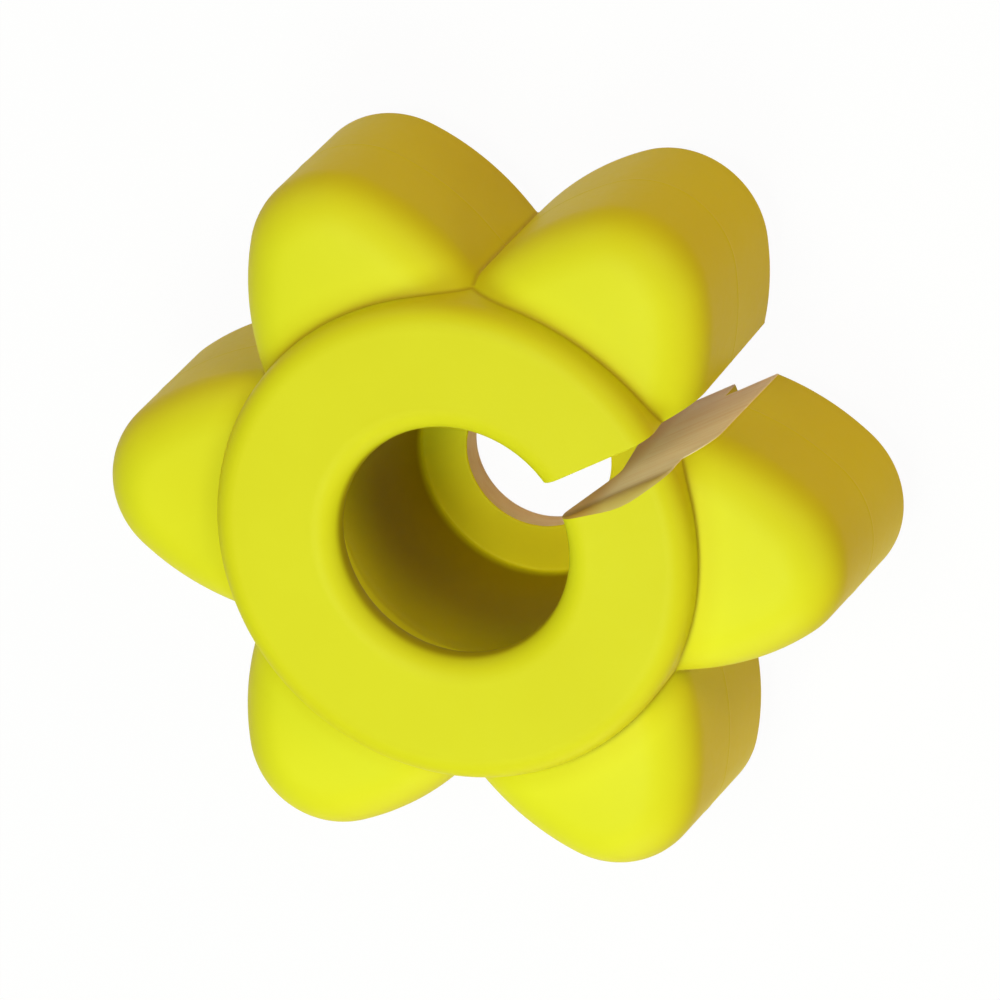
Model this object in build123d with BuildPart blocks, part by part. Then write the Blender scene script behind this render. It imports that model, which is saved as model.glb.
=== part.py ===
from build123d import *
from math import cos, sin, radians
import os

os.makedirs("parts", exist_ok=True)

# Flexible element of a jaw coupling: one elastomer moulding with six lobes, a stepped bore
# and one slot through the ring. +Z is the coupling axis, the rear boss face is z = 0 and the
# slot faces -Y. It bends at its five webs, so it is built as six lobe sectors that meet there.

# overall
lobe_names = ("lobe_1", "lobe_2", "lobe_3", "lobe_4", "lobe_5", "lobe_6")
over_lobes_dia = 100.0
total_height = 39.4
slot_azimuth = -90.0

# ring
ring_dia = 64.3
ring_core_dia = 63.5
ring_edge_round = 3.0
boss_dia = 56.0
boss_height = 5.3
boss_edge_round = 0.5

# bore, from the ring face down to the boss face
throat_dia = 31.0
throat_depth = 3.6
throat_edge_round = 2.5
chamber_dia = 39.8
chamber_depth = 14.0
chamber_round = 6.0
floor_dia = 34.2
floor_height = 4.2
lip_dia = 19.8

# lobes, drafted from their flat rear faces
lobe_tip_radius = 12.2
lobe_tip_half_angle = 51.0
lobe_root_x = 24.0
lobe_root_half_width = 17.25
lobe_draft = 0.9
ring_proud = 4.0
lobe_crown_slope = 3.0
lobe_crown_radius = 64.0
lobe_shoulder_round = 7.4

# slot through the ring, its far side leaning open towards the boss
slot_half_width = 2.42
slot_lean = 0.055

lobe_count = len(lobe_names)
pitch_angle = 360.0 / lobe_count
half_pitch = radians(pitch_angle / 2)
tip_centre_x = over_lobes_dia / 2 - lobe_tip_radius
lobe_crown_height = total_height - ring_proud
slot_foot = slot_half_width + slot_lean * total_height
reach = over_lobes_dia
margin = 1.0

for index, lobe_name in enumerate(lobe_names):
    azimuth = slot_azimuth + (index + 0.5) * pitch_angle
    radial = Vector(cos(radians(azimuth)), sin(radians(azimuth)), 0)
    tangent = Vector(0, 0, 1).cross(radial)
    web_azimuth = azimuth - pitch_angle / 2
    web_radial = Vector(cos(radians(web_azimuth)), sin(radians(web_azimuth)), 0)

    with BuildPart() as lobe:
        # drafted lobe
        with BuildSketch(Plane(origin=(0, 0, boss_height), x_dir=radial, z_dir=(0, 0, 1))):
            with BuildLine():
                tip = CenterArc((tip_centre_x, 0), lobe_tip_radius,
                                -lobe_tip_half_angle, 2 * lobe_tip_half_angle)
                flank_a = TangentArc(tip @ 1, (lobe_root_x, lobe_root_half_width), tangent=tip % 1)
                flank_b = TangentArc(tip @ 0, (lobe_root_x, -lobe_root_half_width),
                                     tangent=(tip % 0) * -1)
                Line(flank_a @ 1, flank_b @ 1)
            make_face()
        extrude(amount=total_height - boss_height, taper=lobe_draft)

        # crowned front, falling away from the ring
        slope = radians(lobe_crown_slope)
        with BuildSketch(Plane(origin=radial * (ring_dia / 2) + Vector(0, 0, lobe_crown_height),
                               x_dir=tangent, z_dir=radial * cos(slope) - Vector(0, 0, sin(slope)))):
            with Locations((0, -lobe_crown_radius)):
                Circle(lobe_crown_radius)
        extrude(amount=reach / 2, both=True, mode=Mode.INTERSECT)

        # soft shoulder all round the crown
        crown_rim = lobe.faces().sort_by(Axis.Z)[-1].edges()
        fillet([edge for edge in crown_rim if edge.center().dot(radial) > lobe_root_x + 4],
               radius=lobe_shoulder_round)

        # ring sector with its bore steps and boss
        with BuildSketch(Plane(origin=(0, 0, 0), x_dir=web_radial,
                               z_dir=web_radial.cross(Vector(0, 0, 1)))) as ring_section:
            with BuildLine():
                Polyline((lip_dia / 2, 0), (boss_dia / 2, 0), (boss_dia / 2, boss_height),
                         (ring_core_dia / 2, boss_height), (ring_dia / 2, total_height),
                         (throat_dia / 2, total_height),
                         (throat_dia / 2, total_height - throat_depth),
                         (chamber_dia / 2, total_height - chamber_depth),
                         (floor_dia / 2, floor_height), (lip_dia / 2, floor_height), close=True)
            make_face()
            fillet(ring_section.vertices().group_by(Axis.Y)[-1].sort_by(Axis.X)[0],
                   radius=throat_edge_round)
            fillet(ring_section.vertices().group_by(Axis.Y)[-1].sort_by(Axis.X)[-1],
                   radius=ring_edge_round)
            fillet(ring_section.vertices().group_by(Axis.Y)[0].sort_by(Axis.X)[-1],
                   radius=boss_edge_round)
            fillet(ring_section.vertices().sort_by_distance((chamber_dia / 2,
                                                             total_height - chamber_depth))[0],
                   radius=chamber_round)
        revolve(axis=Axis.Z, revolution_arc=pitch_angle)

        # the sector ends on the middle plane of each web
        with BuildSketch(Plane(origin=(0, 0, 0), x_dir=radial, z_dir=(0, 0, 1))):
            with BuildLine():
                Polyline((0, 0), (reach * cos(half_pitch), -reach * sin(half_pitch)),
                         (reach * cos(half_pitch), reach * sin(half_pitch)), close=True)
            make_face()
        extrude(amount=total_height + margin, mode=Mode.INTERSECT)

        # slot faces on the two sectors beside it
        if index in (0, lobe_count - 1):
            slot_radial = Vector(cos(radians(slot_azimuth)), sin(radians(slot_azimuth)), 0)
            with BuildSketch(Plane(origin=(0, 0, 0), x_dir=Vector(0, 0, 1).cross(slot_radial),
                                   z_dir=slot_radial)):
                with BuildLine():
                    Polyline((-slot_half_width, -margin), (slot_foot + slot_lean * margin, -margin),
                             (slot_half_width - slot_lean * margin, total_height + margin),
                             (-slot_half_width, total_height + margin), close=True)
                make_face()
            extrude(amount=reach, mode=Mode.SUBTRACT)

    lobe.part.label = lobe_name
    export_step(lobe.part, f"parts/{lobe_name}.step")
    print(lobe_name, round(lobe.part.volume), "mm3")
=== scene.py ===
import bpy
import math
import numpy as np
from mathutils import Matrix, Vector


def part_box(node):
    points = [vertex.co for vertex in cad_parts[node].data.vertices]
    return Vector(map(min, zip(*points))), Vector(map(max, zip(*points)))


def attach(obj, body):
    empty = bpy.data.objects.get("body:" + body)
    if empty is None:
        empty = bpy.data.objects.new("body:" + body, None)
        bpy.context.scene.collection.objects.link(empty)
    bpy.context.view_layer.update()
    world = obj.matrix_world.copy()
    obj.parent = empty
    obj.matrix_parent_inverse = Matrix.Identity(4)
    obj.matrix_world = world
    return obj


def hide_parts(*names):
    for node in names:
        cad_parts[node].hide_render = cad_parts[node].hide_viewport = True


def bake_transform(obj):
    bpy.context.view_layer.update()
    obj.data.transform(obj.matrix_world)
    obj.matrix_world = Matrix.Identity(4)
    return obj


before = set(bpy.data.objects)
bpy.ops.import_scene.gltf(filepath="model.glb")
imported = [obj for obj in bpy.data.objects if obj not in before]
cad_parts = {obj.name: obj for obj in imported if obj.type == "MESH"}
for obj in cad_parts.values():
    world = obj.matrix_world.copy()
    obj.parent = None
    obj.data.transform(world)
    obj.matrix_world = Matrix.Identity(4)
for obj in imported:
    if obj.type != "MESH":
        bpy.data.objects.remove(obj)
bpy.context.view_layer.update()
millimetre = 0.001
halfPitch = 30.0   # degrees from the middle of a lobe to the web beside it
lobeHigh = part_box("lobe_2")[1] / millimetre   # lobe_2 lies along +X
print("frame loaded")

# Sizes are in millimetres and degrees. The ring's side is straight up to edgeDepth below its face,
# and bossFoot is how far from the boss the flat backs of the lobes begin.
ring = {"sideFoot": 31.75, "sideTop": 32.15, "faceHeight": lobeHigh.z, "edgeRound": 3.0,
        "edgeDepth": 3.1, "bossRadius": 28.0, "bossHeight": 5.3, "bossRound": 0.5,
        "bossFoot": 0.6, "bossFootRound": 0.3, "rootRound": 0.25}
lobe = {"reach": lobeHigh.x, "tipRadius": 12.2, "tipAngle": 51.0, "rootX": 24.0, "rootWidth": 17.25,
        "draft": 0.9, "belowFace": 4.0, "crownSlope": 3.0, "crownRadius": 64.0, "shoulder": 7.4,
        "footRound": 0.35, "footLean": 0.006, "valleyRound": 0.2,
        "moldLine": 18.0, "moldLineProud": 0.045, "moldLineWidth": 0.13}
# How finely the outline, wall and shoulder are worked out: firstCentre is the first guess of the
# shoulder ball's height, and rowsAtLine are heights above and below the mold line.
lobeMesh = {"outlineTurn": 125, "outlinePoints": 3000, "firstCentre": 27.0, "centreRounds": 6,
            "widest": 30, "shoulderSteps": 33, "firstRow": 0.6, "rowsBelow": [8, 11, 14, 16.5],
            "rowsAtLine": [-0.5, -0.22, -0.12, -0.05, 0.05, 0.12, 0.22, 0.5],
            "rowsAbove": [21, 23.5, 25.5]}


def ringSide(height):
    # radius of the ring's outer wall at a height: a straight line from foot to top
    share = (height - ring["bossHeight"]) / (ring["faceHeight"] - ring["bossHeight"])
    return ring["sideFoot"] + (ring["sideTop"] - ring["sideFoot"]) * share


def crownHeight(x, y, inset=0.0):
    # A cylinder lying along the lobe and falling outwards: axis height at x, plus the half chord
    # at y divided by the cosine of the slope. inset gives the cylinder that lies that far inside.
    slope = math.radians(lobe["crownSlope"])
    top = ring["faceHeight"] - lobe["belowFace"]
    axis = top - lobe["crownRadius"] / math.cos(slope) - (x - ring["sideTop"]) * math.tan(slope)
    return axis + np.sqrt((lobe["crownRadius"] - inset) ** 2 - y ** 2) / math.cos(slope)


def lobeOutline():
    # Points at the lobe's foot and their outward normals, from the tip round one flank. The tip
    # arc and the tangent flank arc are both centre + radius * normal.
    tip = np.array([lobe["reach"] - lobe["tipRadius"], 0.0])
    corner = math.radians(lobe["tipAngle"])
    cornerNormal = np.array([math.cos(corner), math.sin(corner)])
    join = tip + lobe["tipRadius"] * cornerNormal
    chord = np.array([lobe["rootX"], lobe["rootWidth"]]) - join
    flankRadius = -(chord @ chord) / (2 * chord @ cornerNormal)
    flank = join - flankRadius * cornerNormal
    turn = np.radians(np.linspace(0, lobeMesh["outlineTurn"], lobeMesh["outlinePoints"]))
    normal = np.stack([np.cos(turn), np.sin(turn)], 1)
    onTip = (turn <= corner)[:, None]
    radius = np.where(onTip, lobe["tipRadius"], flankRadius)
    return np.where(onTip, tip, flank) + radius * normal, normal


def wallLines(outline, normal):
    # The drafted wall, one line of x, y, z per height: outline - normal * (rise * tan(draft)),
    # with the mold line added as a bell curve over the height.
    foot, draft = ring["bossHeight"], math.radians(lobe["draft"])
    atLine = lobe["moldLine"] + np.array(lobeMesh["rowsAtLine"])
    heights = np.concatenate([[foot + lobeMesh["firstRow"], *lobeMesh["rowsBelow"]], atLine,
                              lobeMesh["rowsAbove"]])
    lines = [np.stack([outline[:, 0], outline[:, 1], np.full(len(outline), foot)], 1)]
    for height in heights:
        fromLine = (height - lobe["moldLine"]) / lobe["moldLineWidth"]
        ridge = lobe["moldLineProud"] * math.exp(-fromLine ** 2)
        place = outline - normal * ((height - foot) * math.tan(draft) - ridge)
        lines.append(np.stack([place[:, 0], place[:, 1], np.full(len(outline), height)], 1))
    return lines


def shoulderLines(outline, normal):
    # The shoulder is a ball that rolls between wall and crown: its centre lies one ball radius
    # inside both, found by going from height to place and back a few times, and each arc runs from
    # the wall's normal to the crown's normal.
    foot, ball = ring["bossHeight"], lobe["shoulder"]
    draft, slope = math.radians(lobe["draft"]), math.radians(lobe["crownSlope"])
    centreHeight = np.full(len(outline), lobeMesh["firstCentre"])
    for _ in range(lobeMesh["centreRounds"]):
        inwards = (centreHeight - foot) * math.tan(draft) + ball / math.cos(draft)
        centre = outline - normal * inwards[:, None]
        across = np.clip(centre[:, 1], -lobeMesh["widest"], lobeMesh["widest"])
        centreHeight = crownHeight(centre[:, 0], across, inset=ball)
    wallNormal = np.stack([normal[:, 0] * math.cos(draft), normal[:, 1] * math.cos(draft),
                           np.full(len(outline), math.sin(draft))], 1)
    inner = lobe["crownRadius"] - ball
    half = np.sqrt(inner ** 2 - centre[:, 1] ** 2)
    crownNormal = np.stack([half * math.sin(slope), centre[:, 1], half * math.cos(slope)], 1)
    crownNormal = crownNormal / inner
    between = np.arccos(np.clip((wallNormal * crownNormal).sum(1), -1, 1))[:, None]
    ballCentre = np.stack([centre[:, 0], centre[:, 1], centreHeight], 1)
    lines = []
    for share in np.linspace(0, 1, lobeMesh["shoulderSteps"]):
        arc = np.sin((1 - share) * between) * wallNormal + np.sin(share * between) * crownNormal
        lines.append(ballCentre + ball * arc / np.sin(between))
    return lines


def lobeTable(angles):
    # Radius and height of every line of wall and shoulder, one row per azimuth from the lobe's
    # middle, and how many lines belong to the wall. The crease between two lobes is rounded: the
    # distance t from the web plane becomes sqrt(t * t + e * e), and the radius follows it.
    outline, normal = lobeOutline()
    wall, shoulder = wallLines(outline, normal), shoulderLines(outline, normal)
    webAngle, nearby, table = math.radians(halfPitch), 0.01, []
    for line in wall + shoulder:
        azimuth, radius = np.arctan2(line[:, 1], line[:, 0]), np.hypot(line[:, 0], line[:, 1])
        radii, heights = np.interp(angles, azimuth, radius), np.interp(angles, azimuth, line[:, 2])
        atWeb, beside = np.interp([webAngle, webAngle - nearby], azimuth, radius)
        steep = max((beside - atWeb) / (nearby * atWeb), 0.0)
        away = radii * np.sin(webAngle - angles)
        radii = radii + steep * (np.sqrt(away ** 2 + lobe["valleyRound"] ** 2) - away)
        table.append(np.stack([radii, heights], 1))
    return np.stack(table, 1), len(wall)


bore = {"throat": 15.35, "throatDepth": 3.6, "throatRound": 3.2, "throatFoot": 1.5,
        "chamber": 19.9, "chamberDepth": 14.0, "chamberRound": 6.0, "floorRadius": 16.0,
        "floorHeight": 4.2, "floorRound": 0.3, "lip": 9.9, "lipRound": 0.3}
# Width of the bells of painted shade that mark a crease, and the band in which the valley's
# bell begins outside the ring. The painted shade is marked only above the lobes' feet.
creaseShadeBells = {"rootReach": 0.34, "valleyReach": 0.28, "ringGap": 0.05, "ringBand": 0.3,
           "aboveFeet": 0.5}
# How finely a section is worked out, how far in the crown is followed, and the most that the root's
# rounding takes of the rise above it and of the crown before it.
sectionMesh = {"flatPitch": 1.3, "flatHold": 0.03, "arcSteps": 9, "cornerSteps": 6,
               "rearSteps": 12, "crownStart": 30.5, "crownMargin": 30.6, "crownSteps": 40,
               "stops": 44, "stopBias": 1.25, "sideSteps": 9, "rootOfRise": 0.8,
               "rootOfLength": 0.6}
# azimuths of the sections as start, end and count: coarse over the lobe, fine beside the web
rowAngles = {"first": 0.04, "coarse": (0.5, 26.5, 66), "fine": (26.75, halfPitch, 22)}


def stepsAlong(count):
    # Shares 0..1 of a straight stretch, with one short step at each end so that flats shade flat.
    hold = sectionMesh["flatHold"]
    inner = np.linspace(hold, 1 - hold, max(count, 2))
    return np.concatenate([[0.0], inner, [1.0]])


def roundedPath(points, rounds):
    # A polyline whose corners are arcs: each arc leaves its corner by radius / tan(half the
    # corner's opening) on both sides, and its centre lies on the corner's bisector.
    points = [np.array(p, float) for p in points]
    starts, arcs = [points[0]], []
    for before, corner, after, radius in zip(points, points[1:], points[2:], rounds):
        a, b = before - corner, after - corner
        a, b = a / np.linalg.norm(a), b / np.linalg.norm(b)
        half = math.acos(np.clip(a @ b, -1, 1)) / 2
        leave, bisector = radius / math.tan(half), (a + b) / np.linalg.norm(a + b)
        centre = corner + bisector * radius / math.sin(half)
        first, last = corner + a * leave - centre, corner + b * leave - centre
        turn = math.atan2(first[0] * last[1] - first[1] * last[0], first @ last)
        angle = np.linspace(0, turn, sectionMesh["arcSteps"])[:, None]
        across = np.array([-first[1], first[0]])
        arcs.append(centre + first * np.cos(angle) + across * np.sin(angle))
        starts += [corner + a * leave, corner + b * leave]
    starts.append(points[-1])
    stretches = []
    for k in range(len(arcs) + 1):
        begin, end = starts[2 * k], starts[2 * k + 1]
        share = stepsAlong(int(np.linalg.norm(end - begin) / sectionMesh["flatPitch"]))[:, None]
        line = begin + (end - begin) * share
        stretches.append(line if k == 0 else line[1:])
        if k < len(arcs):
            stretches.append(arcs[k][1:])
    return np.concatenate(stretches)


def softCorner(before, corner, after):
    # a curve drawn towards the corner: (1 - t)^2 before + 2 t (1 - t) corner + t^2 after
    t = np.linspace(0, 1, sectionMesh["cornerSteps"])[1:, None]
    return (1 - t) ** 2 * before + 2 * t * (1 - t) * corner + t ** 2 * after


def borePath():
    # the part of a section that is the same all round: ring edge, ring face, bore, lip and boss
    top, boss = ring["faceHeight"], ring["bossHeight"]
    depth, bossFoot = top - ring["edgeDepth"], ring["bossRadius"] + ring["bossFoot"]
    corners = [(ring["sideTop"], top), (bore["throat"], top),
               (bore["throat"], top - bore["throatDepth"]),
               (bore["chamber"], top - bore["chamberDepth"]),
               (bore["floorRadius"], bore["floorHeight"]), (bore["lip"], bore["floorHeight"]),
               (bore["lip"], 0), (ring["bossRadius"], 0), (ring["bossRadius"], boss)]
    rounds = [ring["edgeRound"], bore["throatRound"], bore["throatFoot"], bore["chamberRound"],
              bore["floorRound"], bore["lipRound"], bore["lipRound"], ring["bossRound"],
              ring["bossFootRound"]]
    return roundedPath([(ringSide(depth), depth), *corners, (bossFoot, boss)], rounds)


def untilRing(path):
    # the path up to where it enters the ring's side, found between two points by proportion
    inside = path[:, 0] - ringSide(path[:, 1])
    hit = int(np.argmax(inside < 0))
    share = inside[hit - 1] / (inside[hit - 1] - inside[hit])
    meet = path[hit - 1] + share * (path[hit] - path[hit - 1])
    return np.concatenate([path[:hit], [meet]]), meet


def lobePath(angle, row, wallCount):
    # The rest of a section, from the boss over the lobe's back, wall, shoulder and crown to the
    # ring's side and up to its edge. Also gives the point where the crown meets the ring.
    boss, sideTop = ring["bossHeight"], ring["faceHeight"] - ring["edgeDepth"]
    footRadius = row[0, 0]
    rear = np.linspace(ring["bossRadius"] + ring["bossFoot"], footRadius - lobe["footRound"],
                       sectionMesh["rearSteps"])[1:]
    rear = np.stack([rear, np.full(len(rear), boss)], 1)
    wallStart = np.array([footRadius - lobe["footLean"], boss + lobe["footRound"]])
    footArc = softCorner(rear[-1], np.array([footRadius, boss]), wallStart)
    over = row[wallCount:]
    inwards = np.empty(0)
    if over[-1, 0] > sectionMesh["crownMargin"]:
        inwards = np.linspace(over[-1, 0], sectionMesh["crownStart"], sectionMesh["crownSteps"])[1:]
    crown = crownHeight(inwards * math.cos(angle), inwards * math.sin(angle))
    over, meet = untilRing(np.concatenate([over, np.stack([inwards, crown], 1)]))
    # spaced anew, closer and closer towards the root, and stopped short of it by its rounding
    length = np.concatenate([[0], np.cumsum(np.hypot(*np.diff(over, axis=0).T))])
    cut = min(ring["rootRound"], sectionMesh["rootOfRise"] * (sideTop - meet[1]),
              sectionMesh["rootOfLength"] * length[-1])
    shares = 1 - (1 - np.linspace(0, 1, sectionMesh["stops"])) ** sectionMesh["stopBias"]
    stops = (length[-1] - cut) * shares
    over = np.stack([np.interp(stops, length, over[:, k]) for k in (0, 1)], 1)
    up = np.array([ringSide(meet[1] + cut), meet[1] + cut])
    left = up[1] + (sideTop - up[1]) * np.linspace(0, 1, sectionMesh["sideSteps"])[1:-1]
    side = np.stack([ringSide(left), left], 1)
    root = softCorner(over[-1], meet, up)
    return np.concatenate([rear, footArc, row[1:wallCount], over, root, side]), meet


def creaseShadeShare(section, meet, angle):
    # Share of painted shade, 1 in a crease: a bell over the distance to the root, and outside the
    # ring a bell over the distance to the web plane, whichever is more
    fromRoot = np.hypot(section[:, 0] - meet[0], section[:, 1] - meet[1])
    fromWeb = section[:, 0] * math.sin(math.radians(halfPitch) - angle)
    outside = section[:, 0] - ringSide(section[:, 1]) - creaseShadeBells["ringGap"]
    outside = np.clip(outside / creaseShadeBells["ringBand"], 0, 1)
    share = np.maximum(np.exp(-(fromRoot / creaseShadeBells["rootReach"]) ** 2),
                       outside * np.exp(-(fromWeb / creaseShadeBells["valleyReach"]) ** 2))
    return np.where(section[:, 1] > ring["bossHeight"] + creaseShadeBells["aboveFeet"], share, 0.0)


def halfLobeSections(angles):
    # One closed section (radius, height, share of painted crease shade) per azimuth, all with as
    # many points, and the columns that lie on the wall of the hole in the lip.
    table, wallCount = lobeTable(angles)
    still = borePath()
    found = []
    for angle, row in zip(angles, table):
        moving, meet = lobePath(angle, row, wallCount)
        section = np.concatenate([still, moving])
        found.append(np.concatenate([section, creaseShadeShare(section, meet, angle)[:, None]], 1))
    tolerance = 0.01
    onLip = (still[:, 0] < bore["lip"] + tolerance) & (still[:, 1] < bore["floorHeight"])
    return np.stack(found), np.flatnonzero(onLip)


halfAngles = np.radians(np.concatenate([[0, rowAngles["first"]], np.linspace(*rowAngles["coarse"]),
                                        np.linspace(*rowAngles["fine"])]))
sections, lipColumns = halfLobeSections(halfAngles)
print("section table", sections.shape)

# The slot: half its width at the ring face, how much a leaning face opens per depth, the round on
# every edge, and the roll that the cut leaves beside the ring face, a bell over the radius.
slot = {"halfWidth": 2.42, "lean": 0.055, "edgeRound": 0.12, "rollRadius": 1.35,
        "rollMiddle": 24.5, "rollSpread": 4.0, "rollSteps": 7, "rowBias": 0.85}


def placed(radius, angle, height, creaseShade, azimuth, towards):
    # x, y, z in the row frame, in metres, and the share of painted crease shade: x = r cos(a),
    # y = r sin(a), with a counted from the lobe's azimuth to the side that towards gives, +1 or -1
    turned = math.radians(azimuth) + towards * angle
    place = np.stack([radius * np.cos(turned), radius * np.sin(turned), height], -1) * millimetre
    return np.concatenate([place, creaseShade[..., None]], -1)


def halfLobe(azimuth, towards):
    # half a lobe, from its middle plane to the web plane
    radius, height, creaseShade = np.moveaxis(sections, -1, 0)
    return placed(radius, halfAngles[:, None], height, creaseShade, azimuth, towards)


def onColumn(column, angle, part):
    # radius, height or share of painted crease shade (part 0, 1 or 2) of a column of the
    # sections at an angle
    return np.interp(angle, halfAngles, sections[:, column, part])


def slotGap(height, lean):
    # distance of a slot face from the slot's middle plane
    return slot["halfWidth"] + lean * (ring["faceHeight"] - height)


def columnEnd(column, lean, extra):
    # The angle at which a column has come within extra of the slot face: where its distance from
    # the slot's middle plane, r sin(30 - a), equals the face's own distance at that height.
    radius, height = sections[:, column, 0], sections[:, column, 1]
    beyond = slotGap(height, lean) + extra - radius * np.sin(halfAngles[-1] - halfAngles)
    return np.interp(0, beyond, halfAngles)


def slotEdge(lean, roll):
    # Radius of the rounding on each column: the same everywhere, and larger by the roll beside the
    # ring face, as a bell over the radius that fades out in the throat.
    limits = [columnEnd(column, lean, 0.0) for column in range(sections.shape[1])]
    atRadius = np.array([onColumn(column, limit, 0) for column, limit in enumerate(limits)])
    atHeight = np.array([onColumn(column, limit, 1) for column, limit in enumerate(limits)])
    bell = np.exp(-((atRadius - slot["rollMiddle"]) / slot["rollSpread"]) ** 2 / 2)
    aboveThroat = atHeight - ring["faceHeight"] + bore["throatDepth"]
    fade = np.clip(aboveThroat / bore["throatRound"], 0, 1)
    return slot["edgeRound"] + roll * bell * fade


def inwardNormals(outline):
    # unit normals of a closed outline, pointing into it
    after = np.roll(outline, -1, 0)
    along = after - np.roll(outline, 1, 0)
    inward = np.stack([-along[:, 1], along[:, 0]], 1) / np.linalg.norm(along, axis=1)[:, None]
    area = (outline[:, 0] * after[:, 1] - after[:, 0] * outline[:, 1]).sum()
    return inward * math.copysign(1.0, area)


def slotHalfLobe(azimuth, towards, lean, roll):
    # Half a lobe that ends on the slot's face. Each column is spread over the angles up to its end,
    # and then the edge is rounded: the section shrinks by e (1 - cos t) while it moves on by
    # e sin t, where e is the column's edge radius.
    web, edge = halfAngles[-1], slotEdge(lean, roll)
    shares = (halfAngles / web) ** slot["rowBias"]
    spread = []
    for column, size in enumerate(edge):
        angle = columnEnd(column, lean, size) * shares
        radius, height = onColumn(column, angle, 0), onColumn(column, angle, 1)
        angle[-1] = web - math.asin((slotGap(height[-1], lean) + size) / radius[-1])
        spread.append(np.stack([radius, angle, height, onColumn(column, angle, 2)], -1))
    rows = list(np.stack(spread, 1))
    outline, creaseShade = rows[-1][:, [0, 2]], rows[-1][:, 3]
    inward = inwardNormals(outline)
    for turn in np.linspace(0, math.pi / 2, slot["rollSteps"] + 1)[1:]:
        radius, height = (outline + inward * (edge * (1 - math.cos(turn)))[:, None]).T
        gap = slotGap(height, lean) + edge * (1 - math.sin(turn))
        rows.append(np.stack([radius, web - np.arcsin(gap / radius), height, creaseShade], -1))
    return placed(*np.moveaxis(np.stack(rows), -1, 0), azimuth, towards)


def addNode(tree, kind, inputs=None, **settings):
    # A new node: settings are its own properties, and an input takes a value or another node's
    # output.
    node = tree.nodes.new(kind)
    for name, value in settings.items():
        setattr(node, name, value)
    for name, value in (inputs or {}).items():
        if isinstance(value, bpy.types.NodeSocket):
            tree.links.new(value, node.inputs[name])
        else:
            node.inputs[name].default_value = value
    return node


def mathNode(tree, operation, *values):
    # the result of one Math node; each value is a number or another node's output
    node = addNode(tree, "ShaderNodeMath", dict(enumerate(values)), operation=operation)
    return node.outputs["Value"]


def smoothRamp(tree, value, low, high):
    # 0 at low, 1 at high, smooth between, with the limits in millimetres
    limits = {"Value": value, "From Min": low * millimetre, "From Max": high * millimetre}
    node = addNode(tree, "ShaderNodeMapRange", limits, interpolation_type="SMOOTHSTEP")
    return node.outputs["Result"]


def mixedColour(tree, share, first, second, blend="MIX"):
    # from the first colour to the second, or to their product, as far as the share says
    if isinstance(second, tuple):
        second = (*second, 1)
    node = addNode(tree, "ShaderNodeMix", {"Factor": share, "A": first, "B": second},
                   data_type="RGBA", blend_type=blend)
    return node.outputs["Result"]


def skinValues(finish):
    # what a finish gives to the inputs of its shader group
    return {"Tone": (*finish["tone"], 1), "Deep Tone": (*finish["deepTone"], 1),
            "Gloss": finish["gloss"], "Pebble": finish["pebble"]}


def finishGroup(name, finish):
    # an empty shader group with the inputs and outputs that both finishes have
    group = bpy.data.node_groups.new(name, "ShaderNodeTree")
    for title, value in skinValues(finish).items():
        kind = "NodeSocketColor" if isinstance(value, tuple) else "NodeSocketFloat"
        made = group.interface.new_socket(name=title, in_out="INPUT", socket_type=kind)
        made.default_value = value
    for title, kind in (("Color", "NodeSocketColor"), ("Roughness", "NodeSocketFloat"),
                        ("Normal", "NodeSocketVector")):
        group.interface.new_socket(name=title, in_out="OUTPUT", socket_type=kind)
    return group, group.nodes.new("NodeGroupInput").outputs


def restPlace(tree):
    # Where a point lies at rest, so that patterns stay on a bent web: its place, its distance from
    # the axis and its height.
    place = addNode(tree, "ShaderNodeAttribute", attribute_name="restPlace").outputs["Vector"]
    flat = addNode(tree, "ShaderNodeVectorMath", {0: place, 1: (1, 1, 0)}, operation="MULTIPLY")
    radius = addNode(tree, "ShaderNodeVectorMath", {0: flat.outputs["Vector"]}, operation="LENGTH")
    height = addNode(tree, "ShaderNodeSeparateXYZ", {"Vector": place})
    return place, radius.outputs["Value"], height.outputs["Z"]


def finishOutputs(tree, inside, finish, colour, grain):
    # The group's outputs: roughness is the gloss value plus a share of the grain, and the grain is
    # also a fine bump.
    roughness = mathNode(tree, "MULTIPLY_ADD", grain, finish["grainRough"], inside["Gloss"])
    bump = addNode(tree, "ShaderNodeBump", {"Distance": finish["grainDepth"] * millimetre,
                                            "Strength": inside["Pebble"], "Height": grain})
    addNode(tree, "NodeGroupOutput", {"Color": colour, "Roughness": roughness,
                                      "Normal": bump.outputs["Normal"]})


# The moulded elastomer: slow drift between two tones, a fine satin pebble, and the factor of
# painted shade in its creases.
elastomer = {"tone": (0.725, 0.69, 0.014), "deepTone": (0.70, 0.65, 0.010), "gloss": 0.45,
             "pebble": 0.03, "specular": 0.15, "ior": 1.5, "driftScale": 38.0,
             "driftDetail": 3.0, "driftFrom": 0.35, "driftTo": 0.75, "grainScale": 900.0,
             "grainDetail": 4.0, "grainRough": 0.12, "grainDepth": 0.4,
             "creaseShadeFactor": (0.72, 0.62, 0.6)}
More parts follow.
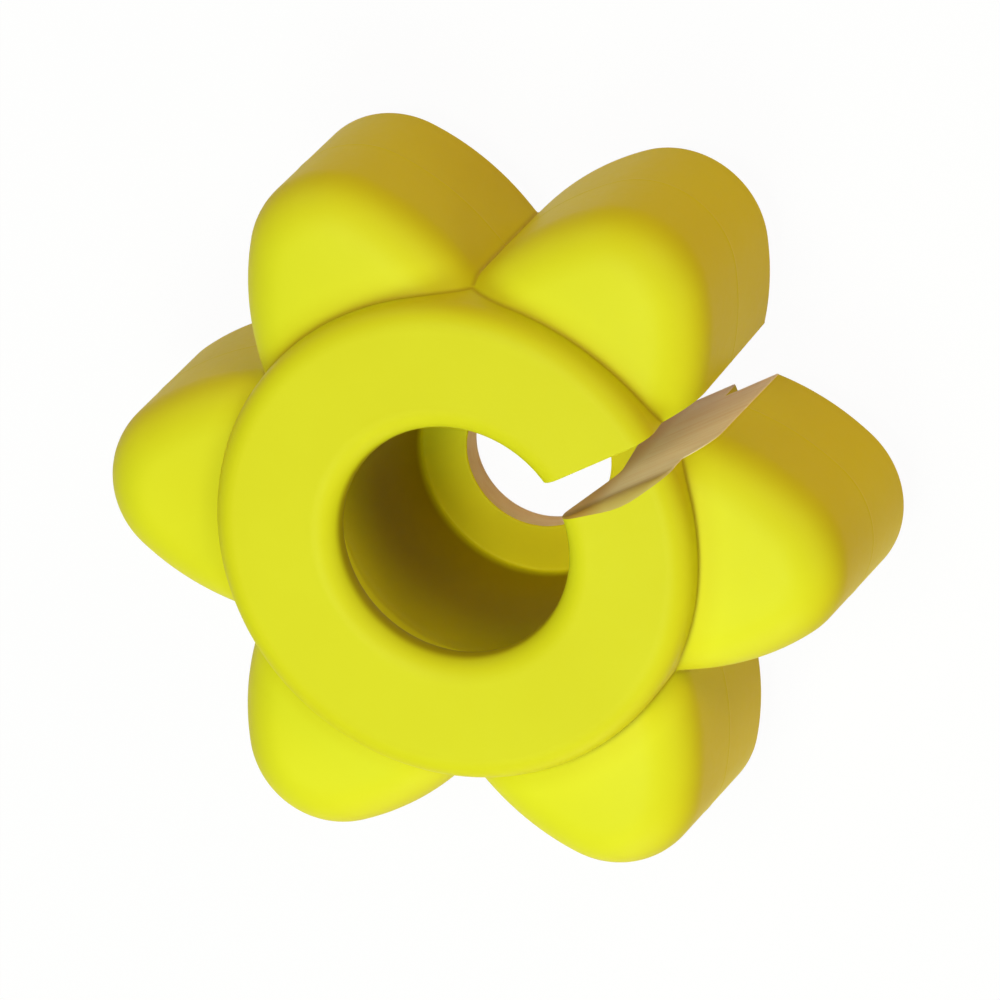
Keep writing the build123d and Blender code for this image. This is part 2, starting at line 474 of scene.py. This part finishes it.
# Zones of painted light and shade, in which its tone is multiplied by a factor: a painted
# highlight on the crowns, painted shade deep in the chamber and on the throat's land, and
# painted light on the chamber's upper band and on the bore's floor. A zone is where all its ramps
# are 1, and a ramp goes from 0 at its first limit to 1 at its second, in millimetres.
paintedLightZones = {
    # painted highlight: the crowns lighter, with more blue
    "crownHighlight": {"factor": (1.09, 1.12, 1.5), "radius": (32.5, 36.0), "heights": [(28.5, 33.0)]},
    # painted shade: the chamber's wall darker towards its bottom
    "chamber": {"factor": (0.54, 0.42, 0.3), "radius": (20.5, 20.2),
                "heights": [(30.0, 14.0), (4.5, 6.0)]},
    # painted light: a brighter band high on the chamber's wall
    "upperChamberLight": {"factor": (1.34, 1.37, 1.0), "radius": (20.5, 20.2),
                     "heights": [(24.0, 31.0), (35.8, 35.0)]},
    # painted light: the bore's floor lighter
    "boreFloorLight": {"factor": (1.28, 1.28, 1.2), "radius": (16.2, 16.0),
                  "heights": [(5.0, 4.5), (3.6, 4.0)]},
    # painted shade: a dark band on the throat's land
    "throat": {"factor": (0.62, 0.52, 0.5), "radius": (16.5, 15.8),
               "heights": [(35.0, 35.7), (38.0, 36.8)]},
}


def moldedSkinGroup(finish):
    # drift, then painted light and shade zone after zone, then painted shade in the creases, with
    # the grain in roughness and bump
    tree, inside = finishGroup("moldedSkin", finish)
    place, radius, height = restPlace(tree)
    drift = addNode(tree, "ShaderNodeTexNoise", {
        "Vector": place, "Scale": finish["driftScale"], "Detail": finish["driftDetail"]})
    spread = addNode(tree, "ShaderNodeMapRange", {
        "Value": drift.outputs["Fac"], "From Min": finish["driftFrom"],
        "From Max": finish["driftTo"]})
    colour = mixedColour(tree, spread.outputs["Result"], inside["Tone"], inside["Deep Tone"])
    # painted light and shade, zone after zone
    for zone in paintedLightZones.values():
        share = smoothRamp(tree, radius, *zone["radius"])
        for limits in zone["heights"]:
            share = mathNode(tree, "MULTIPLY", share, smoothRamp(tree, height, *limits))
        colour = mixedColour(tree, share, colour, zone["factor"], "MULTIPLY")
    # painted shade in the creases, as far as the mesh's crease share says
    creaseShade = addNode(tree, "ShaderNodeAttribute", attribute_name="creaseShade").outputs["Fac"]
    colour = mixedColour(tree, creaseShade, colour, finish["creaseShadeFactor"], "MULTIPLY")
    grain = addNode(tree, "ShaderNodeTexNoise", {
        "Vector": place, "Scale": finish["grainScale"], "Detail": finish["grainDetail"]})
    finishOutputs(tree, inside, finish, colour, grain.outputs["Fac"])
    return tree


# The cut faces: a plain tone with fine streaks along the radius, a browner band of painted shade
# beside the bore, and a rounded edge at the ring face darkened towards olive, partly the
# elastomer's own colour and partly painted shade.
cutFace = {"tone": (0.97, 0.90, 0.68), "deepTone": (0.74, 0.50, 0.20), "gloss": 0.55,
           "pebble": 0.15, "specular": 0.4, "ior": 1.5, "streakScale": (300.0, 60.0, 900.0),
           "streakDetail": 3.0, "streakFrom": 0.4, "streakTo": 0.8, "streakShare": 0.35,
           "grainRough": 0.15, "grainDepth": 0.3, "boreShadeBand": (23.5, 18.5), "lipEnd": 11.5,
           "edge": (35.0, 39.2), "edgeSkinAndShadeFactor": (0.54, 0.44, 0.14)}


def cutSkinGroup(finish):
    # the deeper tone lies in the band of painted shade or in a streak, whichever is more, and the
    # edge is darkened by the elastomer's olive and painted shade
    tree, inside = finishGroup("cutSkin", finish)
    place, radius, height = restPlace(tree)
    stretch = addNode(tree, "ShaderNodeMapping", {"Vector": place, "Scale": finish["streakScale"]})
    streaks = addNode(tree, "ShaderNodeTexNoise", {
        "Vector": stretch.outputs["Vector"], "Scale": 1.0, "Detail": finish["streakDetail"]})
    streakShare = addNode(tree, "ShaderNodeMapRange", {
        "Value": streaks.outputs["Fac"], "From Min": finish["streakFrom"],
        "From Max": finish["streakTo"], "To Max": finish["streakShare"]})
    # painted shade: the deeper tone in a band beside the bore, beyond the lip
    beyondLip = mathNode(tree, "GREATER_THAN", radius, finish["lipEnd"] * millimetre)
    boreShadeBand = mathNode(tree, "MULTIPLY", smoothRamp(tree, radius, *finish["boreShadeBand"]), beyondLip)
    share = mathNode(tree, "MAXIMUM", boreShadeBand, streakShare.outputs["Result"])
    colour = mixedColour(tree, share, inside["Tone"], inside["Deep Tone"])
    # towards the ring face the tone darkens to olive, partly the elastomer's own colour and partly
    # painted shade
    nearFace = smoothRamp(tree, height, *finish["edge"])
    colour = mixedColour(tree, nearFace, colour, finish["edgeSkinAndShadeFactor"], "MULTIPLY")
    finishOutputs(tree, inside, finish, colour, streaks.outputs["Fac"])
    return tree


def finishMaterial(name, group, finish):
    # a material with its finish's group before the shader
    material = bpy.data.materials.new(name)
    material.use_nodes = True
    material.diffuse_color = (*finish["tone"], 1)
    tree = material.node_tree
    shader = tree.nodes["Principled BSDF"]
    skin = addNode(tree, "ShaderNodeGroup", skinValues(finish), node_tree=group)
    for title, target in (("Color", "Base Color"), ("Roughness", "Roughness"),
                          ("Normal", "Normal")):
        tree.links.new(skin.outputs[title], shader.inputs[target])
    shader.inputs["IOR"].default_value = finish["ior"]
    shader.inputs["Specular IOR Level"].default_value = finish["specular"]
    return material


elastomerMaterial = finishMaterial("yellowElastomer", moldedSkinGroup(elastomer), elastomer)
cutMaterial = finishMaterial("cutElastomer", cutSkinGroup(cutFace), cutFace)
print("materials made")


def closedFaces(points, rows, columns):
    # Corners of the quads over a grid whose columns close on themselves, and of the two faces that
    # cap its end rows. All are turned round if the signed volume, the sum of p0 . (p1 x p2) over
    # the triangles, is negative.
    index = np.arange(rows * columns).reshape(rows, columns)
    a, b = index[:-1], index[1:]
    quads = np.stack([a, b, np.roll(b, -1, 1), np.roll(a, -1, 1)], -1).reshape(-1, 4)
    first, last = index[0], index[-1][::-1]
    p = points[np.concatenate([quads[:, [0, 1, 2]], quads[:, [0, 2, 3]]])]
    volume = np.einsum("ij,ij->i", p[:, 0], np.cross(p[:, 1], p[:, 2])).sum()
    for loop in (first, last):
        middle, here, after = points[loop].mean(0), points[loop], points[np.roll(loop, -1)]
        fan = np.broadcast_to(middle, here.shape)
        volume += np.einsum("ij,ij->i", fan, np.cross(here, after)).sum()
    if volume < 0:
        quads, first, last = quads[:, ::-1], first[::-1], last[::-1]
    return quads, first, last


def skinPiece(name, grid, cutStrips=0):
    # A closed piece over grid[row, column], which holds x, y, z and the share of painted crease
    # shade. The cut finish is on the wall of the hole in the lip, on the last cutStrips strips and
    # on their cap.
    rows, columns = grid.shape[:2]
    points, creaseShade = grid.reshape(-1, 4)[:, :3], grid.reshape(-1, 4)[:, 3]
    quads, first, last = closedFaces(points, rows, columns)
    corners = np.concatenate([quads.ravel(), first, last]).astype(np.int32)
    sizes = np.concatenate([np.full(len(quads), 4), [columns, columns]])
    starts = np.concatenate([[0], np.cumsum(sizes)[:-1]]).astype(np.int32)
    places = points.astype(np.float32).ravel()
    mesh = bpy.data.meshes.new(name)
    mesh.vertices.add(len(points))
    mesh.vertices.foreach_set("co", places)
    mesh.loops.add(len(corners))
    mesh.loops.foreach_set("vertex_index", corners)
    mesh.polygons.add(len(sizes))
    mesh.polygons.foreach_set("loop_start", starts)
    mesh.update(calc_edges=True)
    mesh.polygons.foreach_set("use_smooth", np.ones(len(sizes), bool))
    finish = np.zeros((rows - 1, columns), np.int32)
    finish[:, lipColumns] = 1
    finish[rows - 1 - cutStrips:] = 1
    finish = np.concatenate([finish.ravel(), [0, int(cutStrips > 0)]]).astype(np.int32)
    mesh.polygons.foreach_set("material_index", finish)
    # the end rows are crisp edges
    ends = np.zeros(len(mesh.edges) * 2, np.int32)
    mesh.edges.foreach_get("vertices", ends)
    ends = ends.reshape(-1, 2)
    onEnd = (ends < columns).all(1) | (ends >= (rows - 1) * columns).all(1)
    mesh.attributes.new("sharp_edge", "BOOLEAN", "EDGE").data.foreach_set("value", onEnd)
    # the share of painted crease shade, read by the elastomer's shader
    shares = mesh.attributes.new("creaseShade", "FLOAT", "POINT")
    shares.data.foreach_set("value", creaseShade.astype(np.float32))
    mesh.attributes.new("restPlace", "FLOAT_VECTOR", "POINT").data.foreach_set("vector", places)
    mesh.validate()
    mesh.materials.append(elastomerMaterial)
    mesh.materials.append(cutMaterial)
    piece = bpy.data.objects.new(name, mesh)
    bpy.context.scene.collection.objects.link(piece)
    return piece


# A web piece runs from the middle of one lobe to the middle of the next, across the web.
webs = [
    {"name": "webRightOfSlot", "azimuth": -30,
     "bodies": ("lobe_1", "lobe_2"), "replaces": ["lobe_2"]},
    {"name": "webRightSide", "azimuth": 30,
     "bodies": ("lobe_2", "lobe_3"), "replaces": ["lobe_3"]},
    {"name": "webOppositeSlot", "azimuth": 90,
     "bodies": ("lobe_3", "lobe_4"), "replaces": ["lobe_4"]},
    {"name": "webLeftSide", "azimuth": 150,
     "bodies": ("lobe_4", "lobe_5"), "replaces": ["lobe_5"]},
    {"name": "webLeftOfSlot", "azimuth": 210,
     "bodies": ("lobe_5", "lobe_6"), "replaces": []},
]
for web in webs:
    near = halfLobe(web["azimuth"] - halfPitch, 1)
    far = halfLobe(web["azimuth"] + halfPitch, -1)[::-1]
    piece = skinPiece(web["name"], np.concatenate([near, far[1:]]))
    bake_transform(piece)
    if web["replaces"]:
        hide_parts(*web["replaces"])

# The slot ends: the right one leans, and the left one is rolled over by the cut.
ends = [
    {"name": "slotEndRight", "azimuth": -60, "towards": -1, "lean": slot["lean"], "roll": 0.0,
     "cutStrips": 1, "body": "lobe_1"},
    {"name": "slotEndLeft", "azimuth": 240, "towards": 1, "lean": 0.0, "roll": slot["rollRadius"],
     "cutStrips": slot["rollSteps"], "body": "lobe_6"},
]
for end in ends:
    grid = slotHalfLobe(end["azimuth"], end["towards"], end["lean"], end["roll"])
    piece = skinPiece(end["name"], grid, end["cutStrips"])
    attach(piece, end["body"])
    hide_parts(end["body"])
print("skin pieces", len(webs) + len(ends))


def backgroundRays(tree):
    # 1 for camera, glossy and transmission rays, 0 for the rays that light the object
    seen = addNode(tree, "ShaderNodeLightPath").outputs
    both = mathNode(tree, "MAXIMUM", seen["Is Glossy Ray"], seen["Is Transmission Ray"])
    return mathNode(tree, "MAXIMUM", seen["Is Camera Ray"], both)


def mixedShader(tree, share, first, second):
    # the first shader, and the second as far as the share says
    return addNode(tree, "ShaderNodeMixShader", {0: share, 1: first, 2: second}).outputs["Shader"]


# The floor looks white, keeps a little of the shadow, and throws warm light back on the object.
floor = {"size": 6.0, "below": 0.0001, "warmBounce": (0.90, 0.47, 0.20), "paint": (0.95,) * 3,
         "white": 0.96}
floorMesh = bpy.data.meshes.new("studioFloor")
half, level = floor["size"] / 2, -floor["below"]
floorMesh.from_pydata([(-half, -half, level), (half, -half, level), (half, half, level),
                       (-half, half, level)], [], [(0, 1, 2, 3)])
floorPiece = bpy.data.objects.new("studioFloor", floorMesh)
bpy.context.scene.collection.objects.link(floorPiece)
floorMaterial = bpy.data.materials.new("paleFloor")
floorMaterial.use_nodes = True
tree = floorMaterial.node_tree
tree.nodes.clear()
lit = addNode(tree, "ShaderNodeBsdfDiffuse", {"Color": (*floor["warmBounce"], 1)})
painted = addNode(tree, "ShaderNodeBsdfDiffuse", {"Color": (*floor["paint"], 1)})
glow = addNode(tree, "ShaderNodeEmission")
looks = mixedShader(tree, floor["white"], painted.outputs["BSDF"], glow.outputs["Emission"])
surface = mixedShader(tree, backgroundRays(tree), lit.outputs["BSDF"], looks)
addNode(tree, "ShaderNodeOutputMaterial", {"Surface": surface})
floorMesh.materials.append(floorMaterial)

# white behind the object, and a dim warm fill on it
surroundings = {"fill": (1.0, 0.88, 0.76), "strength": 0.02, "backdrop": (1, 1, 1)}
world = bpy.data.worlds.new("studio")
bpy.context.scene.world = world
world.use_nodes = True
tree = world.node_tree
tree.nodes.clear()
fill = addNode(tree, "ShaderNodeBackground", {"Color": (*surroundings["fill"], 1),
                                              "Strength": surroundings["strength"]})
backdrop = addNode(tree, "ShaderNodeBackground", {"Color": (*surroundings["backdrop"], 1)})
surface = mixedShader(tree, backgroundRays(tree), fill.outputs["Background"],
                      backdrop.outputs["Background"])
addNode(tree, "ShaderNodeOutputWorld", {"Surface": surface})


def direction(azimuth, elevation):
    # unit vector towards an azimuth and elevation in degrees
    a, e = math.radians(azimuth), math.radians(elevation)
    return Vector((math.cos(a) * math.cos(e), math.sin(a) * math.cos(e), math.sin(e)))


# Disc lamps aimed at the object's middle, in metres and watts:
# azimuth, elevation, distance, size, power, colour
lampAim = Vector((0, 0, 0.02))
lamps = {
    "keyLight": (352, 76, 0.8, 0.3, 2.05, (0.98, 0.93, 0.8)),
    "closeLight": (150, 68, 0.4, 0.2, 0.82, (0.74, 1.0, 0.75)),
    "lowLight": (163, 12, 0.8, 0.35, 1.85, (1.0, 0.86, 0.6)),
    "slotLight": (293, 30, 0.8, 0.25, 1.2, (1.0, 0.8, 0.62)),
    "sideLight": (240, 30, 0.8, 0.35, 0.75, (0.95, 1.0, 0.8)),
    "upperLight": (8, 12, 0.8, 0.35, 0.62, (0.9, 1.0, 0.8)),
    "topLight": (60, 80, 0.8, 0.35, 0.6, (1.0, 0.75, 0.6)),
}
for name, (azimuth, elevation, distance, size, power, colour) in lamps.items():
    away = direction(azimuth, elevation)
    data = bpy.data.lights.new(name, "AREA")
    data.shape, data.size, data.energy, data.color = "DISK", size, power, colour
    lamp = bpy.data.objects.new(name, data)
    lamp.location = lampAim + away * distance
    lamp.rotation_mode = "QUATERNION"
    lamp.rotation_quaternion = away.to_track_quat("Z", "Y")
    bpy.context.scene.collection.objects.link(lamp)

camera = {"azimuth": -69.987, "elevation": 61.744, "roll": 135.8, "distance": 1.2835,
          "lens": 360.0, "clipEnd": 20, "aim": (-0.00055, 0.00003, 0.02)}
roll = math.radians(camera["roll"])
back = direction(camera["azimuth"], camera["elevation"])
right = Vector((0, 0, 1)).cross(back).normalized()
up = back.cross(right) * math.cos(roll) + right * math.sin(roll)
right = up.cross(back)
cameraData = bpy.data.cameras.new("camera")
cameraData.lens = camera["lens"]
cameraData.clip_end = camera["clipEnd"]
cameraObject = bpy.data.objects.new("camera", cameraData)
cameraObject.matrix_world = Matrix((right, up, back)).transposed().to_4x4()
cameraObject.location = Vector(camera["aim"]) + back * camera["distance"]
bpy.context.scene.collection.objects.link(cameraObject)
bpy.context.scene.camera = cameraObject
bpy.context.scene.view_settings.view_transform = "Standard"
print("studio made")
